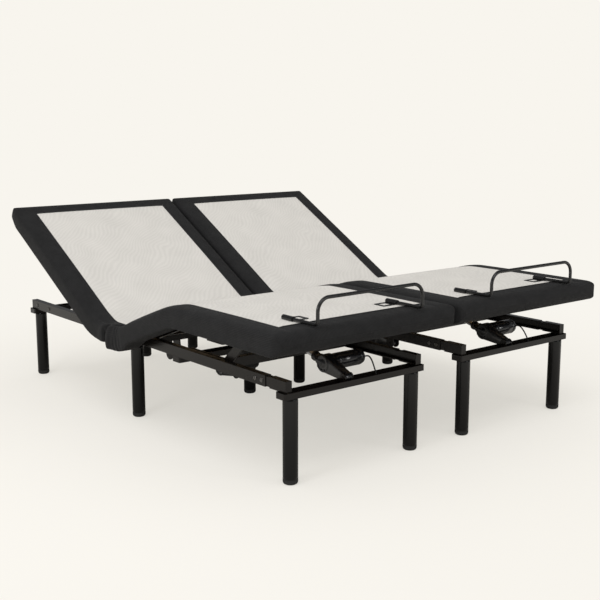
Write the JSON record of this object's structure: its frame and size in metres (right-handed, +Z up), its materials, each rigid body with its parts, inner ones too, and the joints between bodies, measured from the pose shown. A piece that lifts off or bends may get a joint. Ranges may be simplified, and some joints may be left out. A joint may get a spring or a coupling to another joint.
{
  "type": "split adjustable bed base",
  "caption": "Split powered bed base: parallel padded decks with raised backrest and knees, steel frames on round legs, linear drives and bent-rod mattress stops.",
  "frame": {"origin": "on the floor under the middle of the bounding box of the raised pair", "axes": "+Y to the head end along the beds, +X across the pair to the right of someone looking from the foot end to the head end, +Z up"},
  "size_m": [1.608, 1.9313, 0.7791],
  "materials": {
    "frame_steel": "satin black-brown powder coat",
    "leg_enamel": "gloss black enamel",
    "deck_fabric": "charcoal upholstery with a light grey top panel",
    "deck_board": "bare plywood",
    "drive_housing": "semi-gloss black",
    "drive_rod": "bright drawn tube",
    "zinc": "zinc plate",
    "rubber": "matt",
    "stop_steel": "satin black"
  },
  "bodies": {
    "base": {"left_side_rails": "frame_steel", "left_rail_sleeves": "frame_steel", "left_foot_crossbar": "frame_steel", "left_head_crossbar": "frame_steel", "left_middle_crossbar": "frame_steel", "left_drive_beam": "frame_steel", "left_legs": "leg_enamel", "left_seat_board": "deck_board", "left_seat_pad": "deck_fabric", "left_control_box": "drive_housing", "left_drive_clevises": "frame_steel", "right_side_rails": "frame_steel", "right_rail_sleeves": "frame_steel", "right_foot_crossbar": "frame_steel", "right_head_crossbar": "frame_steel", "right_middle_crossbar": "frame_steel", "right_drive_beam": "frame_steel", "right_legs": "leg_enamel", "right_seat_board": "deck_board", "right_seat_pad": "deck_fabric", "right_control_box": "drive_housing", "right_drive_clevises": "frame_steel", "leg_caps": "rubber", "frame_fasteners": "zinc", "hinge_pins": "zinc"},
    "left_backrest": {"left_head_frame": "frame_steel", "left_head_board": "deck_board", "left_head_pad": "deck_fabric"},
    "left_thigh": {"left_thigh_frame": "frame_steel", "left_thigh_board": "deck_board", "left_thigh_pad": "deck_fabric"},
    "left_foot": {"left_foot_frame": "frame_steel", "left_foot_board": "deck_board", "left_foot_pad": "deck_fabric", "left_stop_sockets": "stop_steel"},
    "left_arms": {"left_support_arms": "frame_steel"},
    "left_back_drive": {"left_back_motor": "drive_housing"},
    "left_back_ram": {"left_back_rod": "drive_rod"},
    "left_leg_drive": {"left_leg_motor": "drive_housing", "left_motor_cable": "rubber"},
    "left_leg_ram": {"left_leg_rod": "drive_rod"},
    "left_stop": {"left_mattress_stop": "stop_steel"},
    "right_backrest": {"right_head_frame": "frame_steel", "right_head_board": "deck_board", "right_head_pad": "deck_fabric"},
    "right_thigh": {"right_thigh_frame": "frame_steel", "right_thigh_board": "deck_board", "right_thigh_pad": "deck_fabric"},
    "right_foot": {"right_foot_frame": "frame_steel", "right_foot_board": "deck_board", "right_foot_pad": "deck_fabric", "right_stop_sockets": "stop_steel"},
    "right_arms": {"right_support_arms": "frame_steel"},
    "right_back_drive": {"right_back_motor": "drive_housing"},
    "right_back_ram": {"right_back_rod": "drive_rod"},
    "right_leg_drive": {"right_leg_motor": "drive_housing", "right_motor_cable": "rubber"},
    "right_leg_ram": {"right_leg_rod": "drive_rod"},
    "right_stop": {"right_mattress_stop": "stop_steel"}
  },
  "joints": [
    {"name": "left_backrest_tilt", "type": "hinge", "parent": "base", "child": "left_backrest", "pos_m": [-0.404, 0.20622, 0.326], "axis": [1, 0, 0], "range_deg": [-29, 31]},
    {"name": "left_thigh_tilt", "type": "hinge", "parent": "base", "child": "left_thigh", "pos_m": [-0.404, -0.00178, 0.326], "axis": [-1, 0, 0], "range_deg": [-20.5, 10]},
    {"name": "left_knee", "type": "hinge", "parent": "left_thigh", "child": "left_foot", "pos_m": [-0.404, -0.35772, 0.45908], "axis": [-1, 0, 0], "range_deg": [-10.2, 20.7]},
    {"name": "left_arm_swing", "type": "hinge", "parent": "base", "child": "left_arms", "pos_m": [-0.404, -0.30378, 0.326], "axis": [-1, 0, 0], "range_deg": [-20.7, 10.2]},
    {"name": "left_leg_drive_tilt", "type": "hinge", "parent": "base", "child": "left_leg_drive", "pos_m": [-0.434, -0.86978, 0.312], "axis": [1, 0, 0], "range_deg": [-13, 6.5]},
    {"name": "left_leg_ram_slide", "type": "slide", "parent": "left_leg_drive", "child": "left_leg_ram", "axis": [0, 0.9667, 0.2559], "range_m": [-0.062, 0.031]},
    {"name": "left_back_drive_tilt", "type": "hinge", "parent": "base", "child": "left_back_drive", "pos_m": [-0.424, -0.24778, 0.2], "axis": [1, 0, 0], "range_deg": [-1.1, 1.1]},
    {"name": "left_back_ram_slide", "type": "slide", "parent": "left_back_drive", "child": "left_back_ram", "axis": [0, 1, 0], "range_m": [-0.062, 0.066]},
    {"name": "left_stop_slide", "type": "slide", "parent": "left_foot", "child": "left_stop", "axis": [0, -1, 0], "range_m": [0, 0.03]},
    {"name": "right_backrest_tilt", "type": "hinge", "parent": "base", "child": "right_backrest", "pos_m": [0.404, 0.20622, 0.326], "axis": [1, 0, 0], "range_deg": [-29, 31]},
    {"name": "right_thigh_tilt", "type": "hinge", "parent": "base", "child": "right_thigh", "pos_m": [0.404, -0.00178, 0.326], "axis": [-1, 0, 0], "range_deg": [-20.5, 10]},
    {"name": "right_knee", "type": "hinge", "parent": "right_thigh", "child": "right_foot", "pos_m": [0.404, -0.35772, 0.45908], "axis": [-1, 0, 0], "range_deg": [-10.2, 20.7]},
    {"name": "right_arm_swing", "type": "hinge", "parent": "base", "child": "right_arms", "pos_m": [0.404, -0.30378, 0.326], "axis": [-1, 0, 0], "range_deg": [-20.7, 10.2]},
    {"name": "right_leg_drive_tilt", "type": "hinge", "parent": "base", "child": "right_leg_drive", "pos_m": [0.374, -0.86978, 0.312], "axis": [1, 0, 0], "range_deg": [-13, 6.5]},
    {"name": "right_leg_ram_slide", "type": "slide", "parent": "right_leg_drive", "child": "right_leg_ram", "axis": [0, 0.9667, 0.2559], "range_m": [-0.062, 0.031]},
    {"name": "right_back_drive_tilt", "type": "hinge", "parent": "base", "child": "right_back_drive", "pos_m": [0.384, -0.24778, 0.2], "axis": [1, 0, 0], "range_deg": [-1.1, 1.1]},
    {"name": "right_back_ram_slide", "type": "slide", "parent": "right_back_drive", "child": "right_back_ram", "axis": [0, 1, 0], "range_m": [-0.062, 0.066]},
    {"name": "right_stop_slide", "type": "slide", "parent": "right_foot", "child": "right_stop", "axis": [0, -1, 0], "range_m": [0, 0.03]}
  ],
  "couplings": [
    {"joint": "left_knee", "follows": "left_thigh_tilt", "ratio": -1},
    {"joint": "left_arm_swing", "follows": "left_thigh_tilt", "ratio": 1},
    {"joint": "left_leg_drive_tilt", "follows": "left_thigh_tilt", "ratio": 0.62},
    {"joint": "left_leg_ram_slide", "follows": "left_thigh_tilt", "m_per_rad": 0.17},
    {"joint": "left_back_drive_tilt", "follows": "left_backrest_tilt", "ratio": 0.03},
    {"joint": "left_back_ram_slide", "follows": "left_backrest_tilt", "m_per_rad": 0.1195},
    {"joint": "right_knee", "follows": "right_thigh_tilt", "ratio": -1},
    {"joint": "right_arm_swing", "follows": "right_thigh_tilt", "ratio": 1},
    {"joint": "right_leg_drive_tilt", "follows": "right_thigh_tilt", "ratio": 0.62},
    {"joint": "right_leg_ram_slide", "follows": "right_thigh_tilt", "m_per_rad": 0.17},
    {"joint": "right_back_drive_tilt", "follows": "right_backrest_tilt", "ratio": 0.03},
    {"joint": "right_back_ram_slide", "follows": "right_backrest_tilt", "m_per_rad": 0.1195}
  ]
}
